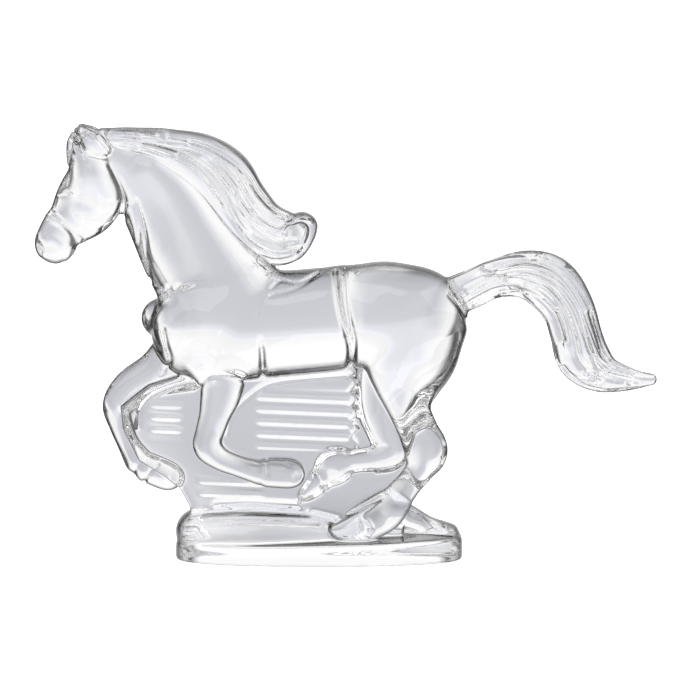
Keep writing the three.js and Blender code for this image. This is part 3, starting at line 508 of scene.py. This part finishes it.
def place_object(name, data):
    """An object in the scene for a mesh, a light or a camera."""
    placed = bpy.data.objects.new(name, data)
    bpy.context.scene.collection.objects.link(placed)
    return placed


def make_horse():
    """The whole casting as one piece."""
    field = Field()
    for limb in LIMBS:
        field.add_limb(*limb)
    field.soften()
    for lock in HAIR:
        field.add_limb(*lock)
    field.press_creases(HORSE_CREASES, CREASE_FALL)
    field.add_web()
    field.add_plinth()
    field.press_creases(BASE_CREASES, 0)
    points, faces = wrap_surface(field)
    points = settle_points(field, points)[0]
    mesh = bpy.data.meshes.new("horse_form")
    mesh.from_pydata((points * MM).tolist(), [], faces.tolist())
    horse = place_object("horse_form", mesh)
    thin = horse.modifiers.new("thin", "DECIMATE")
    thin.ratio = TRIANGLES / (2 * len(faces))
    graph = bpy.context.evaluated_depsgraph_get()
    thinned = bpy.data.meshes.new_from_object(horse.evaluated_get(graph))
    horse.modifiers.clear()
    horse.data = thinned
    corners = np.empty(3 * len(thinned.vertices))
    thinned.vertices.foreach_get("co", corners)
    points, facing = settle_points(field, corners.reshape(-1, 3) / MM)
    thinned.vertices.foreach_set("co", (points * MM).ravel())
    thinned.polygons.foreach_set("use_smooth", np.ones(len(thinned.polygons), bool))
    thinned.normals_split_custom_set_from_vertices(facing.tolist())
    thinned.update()
    return horse


# Clear crystal, with the faint waves that pressing leaves, and shade painted into its colour from facing
# to grazing
CRYSTAL_COLOUR = (0.985, 0.99, 0.992, 1)
CRYSTAL_INDEX = 1.54
WAVE_SCALE = 45
WAVE_DETAIL = 1
WAVE_STRENGTH = 0.25
WAVE_HEIGHT = 0.0006
# Painted shade: the crystal's colour by facing, white when facing and dark at grazing
EDGE_PAINTED_SHADE = [(0, 1), (0.3, 1), (0.43, 0.4), (0.56, 0.02), (1, 0)]

# Floor, and the glow painted on it that the crystal shows, by the distance away: painted shadow in a dark
# ring near the horse, painted light further off
FLOOR_HALF = 12
FLOOR_WHITE = (0.96, 0.96, 0.96, 1)
FLOOR_ROUGHNESS = 0.9
FLOOR_GLOW = 1.0
FLOOR_DROP = 0.0003
FLOOR_REACH = 3.0
FLOOR_NARROWING = 1 / 3
FLOOR_PAINTED_GLOW = [
    (0, 0.9), (0.007, 0.8), (0.0104, 0.5), (0.018, 0.34), (0.03, 0.5), (0.05, 0.58), (0.1, 0.6),
    (0.2, 0.63), (0.27, 0.68), (0.36, 0.78), (1, 0.92)]
PAINTED_GLOW_TINT = (0.97, 0.98, 1.05, 1)

# Painted shade in that glow: the floor's two ends, white and then dark, by how far sideways a place lies
# for its distance
FLOOR_ENDS_FROM = 0.12
FLOOR_ENDS_SHARE = [(0, 0), (0.14, 0), (0.32, 0.9), (0.5, 1), (1, 1)]
FLOOR_PAINTED_ENDS = [(0, 1), (0.41, 1), (0.53, 0.16), (0.7, 0.2), (1, 0.42)]

# Surroundings, from the middle to the ends and from the horizon to the ceiling
WORLD_STRENGTH = 1.5
WORLD_ENDWAYS = [(0, 1), (0.5, 1), (0.68, 0.05), (0.85, 0.1), (1, 0.3)]
WORLD_UPWARDS = [(0, 0.6), (0.15, 0.66), (0.5, 0.72), (0.76, 0.66), (0.88, 0.06), (1, 0.03)]

# Soft boxes, as (name, place, size, power)
SOFT_BOXES = [("key", (-0.9, -1.2, 1.4), (2.2, 1.6), 14), ("fill", (1.3, -0.7, 1.0), (1.4, 1.6), 8)]
SOFT_BOX_AIM = (0, 0, 0.1)

# Camera of the photograph: almost level, looking along +Y from a long way off
PIXEL = 0.4 * MM
CAMERA_AWAY = 8.0
CAMERA_DOWN = math.radians(10)
CAMERA_CLIP = 50
SENSOR_WIDTH = 36
ORIGIN_PIXEL = (319, 557.6)
PICTURE = 700

# Passes of light through the crystal
GLASS_BOUNCES = 24
GLOSS_BOUNCES = 12


class NodeTree:
    """The nodes of a material or of the world."""

    def __init__(self, owner):
        owner.use_nodes = True
        self.nodes = owner.node_tree.nodes
        self.links = owner.node_tree.links

    def add(self, kind, **settings):
        """A new node with its settings."""
        node = self.nodes.new("ShaderNode" + kind)
        for name, value in settings.items():
            setattr(node, name, value)
        return node

    def feed(self, socket, value):
        """Links an output to a socket, or sets the socket to a plain value."""
        if isinstance(value, bpy.types.NodeSocket):
            self.links.new(value, socket)
        else:
            socket.default_value = value

    def maths(self, operation, *values):
        """The result of a sum on plain values and outputs."""
        node = self.add("Math", operation=operation)
        for socket, value in zip(node.inputs, values):
            self.feed(socket, value)
        return node.outputs[0]

    def vector_maths(self, operation, *values):
        """The node of a sum on vectors."""
        node = self.add("VectorMath", operation=operation)
        for socket, value in zip(node.inputs, values):
            self.feed(socket, value)
        return node

    def ramp(self, stops, place):
        """Grey by place along the stops (place, brightness)."""
        node = self.add("ValToRGB")
        elements = node.color_ramp.elements
        while len(elements) < len(stops):
            elements.new(0.5)
        for element, (position, grey) in zip(elements, stops):
            element.position = position
            element.color = (grey, grey, grey, 1)
        self.feed(node.inputs["Fac"], place)
        return node.outputs["Color"]

    def mix(self, blend, factor, first, second):
        """Two colours mixed."""
        node = self.add("Mix", data_type="RGBA", blend_type=blend)
        self.feed(node.inputs["Factor"], factor)
        self.feed(node.inputs["A"], first)
        self.feed(node.inputs["B"], second)
        return node.outputs["Result"]


def crystal_material():
    """Clear lead crystal, fire polished."""
    material = bpy.data.materials.new("clear_crystal")
    tree = NodeTree(material)
    shader = tree.nodes["Principled BSDF"]
    shader.inputs["Base Color"].default_value = CRYSTAL_COLOUR
    shader.inputs["Transmission Weight"].default_value = 1
    shader.inputs["IOR"].default_value = CRYSTAL_INDEX
    shader.inputs["Roughness"].default_value = 0.0
    waves = tree.add("TexNoise")
    waves.inputs["Scale"].default_value = WAVE_SCALE
    waves.inputs["Detail"].default_value = WAVE_DETAIL
    tree.feed(waves.inputs["Vector"], tree.add("TexCoord").outputs["Object"])
    bump = tree.add("Bump")
    bump.inputs["Strength"].default_value = WAVE_STRENGTH
    bump.inputs["Distance"].default_value = WAVE_HEIGHT
    tree.feed(bump.inputs["Height"], waves.outputs["Fac"])
    tree.feed(shader.inputs["Normal"], bump.outputs["Normal"])
    # Painted shade: the colour darkens towards grazing, drawing dark outlines along the edges
    facing = tree.add("LayerWeight")
    facing.inputs["Blend"].default_value = 0.5
    tree.feed(shader.inputs["Base Color"], tree.ramp(EDGE_PAINTED_SHADE, facing.outputs["Facing"]))
    return material


def floor_material():
    """Plain near-white to the camera, and to the crystal a painted glow of graded light and painted
    shadow.
    """
    material = bpy.data.materials.new("floor_white")
    tree = NodeTree(material)
    bare = tree.nodes["Principled BSDF"]
    bare.inputs["Base Color"].default_value = FLOOR_WHITE
    bare.inputs["Roughness"].default_value = FLOOR_ROUGHNESS
    bare.inputs["Specular IOR Level"].default_value = 0.0
    bare.inputs["Emission Color"].default_value = (1, 1, 1, 1)
    bare.inputs["Emission Strength"].default_value = FLOOR_GLOW
    place = tree.add("TexCoord").outputs["Object"]
    shrink = (FLOOR_NARROWING / FLOOR_REACH, 1 / FLOOR_REACH, 0)
    narrow = tree.vector_maths("MULTIPLY", place, shrink).outputs[0]
    away = tree.vector_maths("LENGTH", narrow).outputs["Value"]
    grey = tree.mix("MULTIPLY", 1, tree.ramp(FLOOR_PAINTED_GLOW, away), PAINTED_GLOW_TINT)
    reach = tree.vector_maths("LENGTH", place).outputs["Value"]
    split = tree.add("SeparateXYZ")
    tree.feed(split.inputs[0], place)
    # Painted shade: the glow turns dark towards the floor's two ends
    sideways = tree.maths("ABSOLUTE", split.outputs["X"])
    endways = tree.maths("DIVIDE", sideways, tree.maths("ADD", reach, FLOOR_ENDS_FROM))
    ends = tree.mix("MIX", tree.ramp(FLOOR_ENDS_SHARE, endways), grey, tree.ramp(FLOOR_PAINTED_ENDS, endways))
    # Painted light and shade: rays other than the camera's see the floor as this glow, not as a lit
    # surface
    painted_glow = tree.add("Emission")
    tree.feed(painted_glow.inputs["Color"], ends)
    choice = tree.add("MixShader")
    tree.feed(choice.inputs["Fac"], tree.add("LightPath").outputs["Is Camera Ray"])
    tree.feed(choice.inputs[1], painted_glow.outputs[0])
    tree.feed(choice.inputs[2], bare.outputs[0])
    tree.feed(tree.nodes["Material Output"].inputs["Surface"], choice.outputs[0])
    return material


def make_floor():
    """A large, plain, near-white floor."""
    mesh = bpy.data.meshes.new("floor")
    signs = [(-1, -1), (1, -1), (1, 1), (-1, 1)]
    corners = [(x * FLOOR_HALF, y * FLOOR_HALF, -FLOOR_DROP) for x, y in signs]
    mesh.from_pydata(corners, [], [(0, 1, 2, 3)])
    floor = place_object("floor", mesh)
    mesh.materials.append(floor_material())


def make_world():
    """Studio surroundings: white all round, with a dark board at each end and a dark ceiling."""
    world = bpy.data.worlds.new("studio")
    bpy.context.scene.world = world
    tree = NodeTree(world)
    split = tree.add("SeparateXYZ")
    tree.feed(split.inputs[0], tree.add("TexCoord").outputs["Generated"])
    boards = tree.ramp(WORLD_ENDWAYS, tree.maths("ABSOLUTE", split.outputs["X"]))
    ceiling = tree.ramp(WORLD_UPWARDS, split.outputs["Z"])
    background = tree.nodes["Background"]
    background.inputs["Strength"].default_value = WORLD_STRENGTH
    tree.feed(background.inputs["Color"], tree.mix("MULTIPLY", 1, boards, ceiling))


def make_light(name, place, size, power):
    """A soft box aimed at the middle of the horse."""
    data = bpy.data.lights.new(name, "AREA")
    data.shape = "RECTANGLE"
    data.size, data.size_y = size
    data.energy = power
    light = place_object(name, data)
    light.location = place
    aim = Vector(SOFT_BOX_AIM) - Vector(place)
    light.rotation_euler = aim.to_track_quat("-Z", "Y").to_euler()


def make_camera():
    """The camera, placed so that the object's origin falls on its pixel."""
    data = bpy.data.cameras.new("camera")
    data.sensor_width = SENSOR_WIDTH
    data.lens = SENSOR_WIDTH * CAMERA_AWAY / (PICTURE * PIXEL)
    data.clip_end = CAMERA_CLIP
    camera = place_object("camera", data)
    right = (PICTURE / 2 - ORIGIN_PIXEL[0]) * PIXEL
    up = (ORIGIN_PIXEL[1] - PICTURE / 2) * PIXEL
    sin, cos = math.sin(CAMERA_DOWN), math.cos(CAMERA_DOWN)
    camera.location = (right, up * sin - CAMERA_AWAY * cos, up * cos + CAMERA_AWAY * sin)
    camera.rotation_euler = (math.pi / 2 - CAMERA_DOWN, 0, 0)
    bpy.context.scene.camera = camera


def make_scene():
    """Everything in the picture."""
    make_camera()
    horse = make_horse()
    horse.data.materials.append(crystal_material())
    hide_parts("crystal_horse")
    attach(horse, "root")
    make_floor()
    make_world()
    for box in SOFT_BOXES:
        make_light(*box)
    scene = bpy.context.scene
    scene.view_settings.view_transform = "Standard"
    scene.cycles.max_bounces = GLASS_BOUNCES
    scene.cycles.transmission_bounces = GLASS_BOUNCES
    scene.cycles.glossy_bounces = GLOSS_BOUNCES


make_scene()
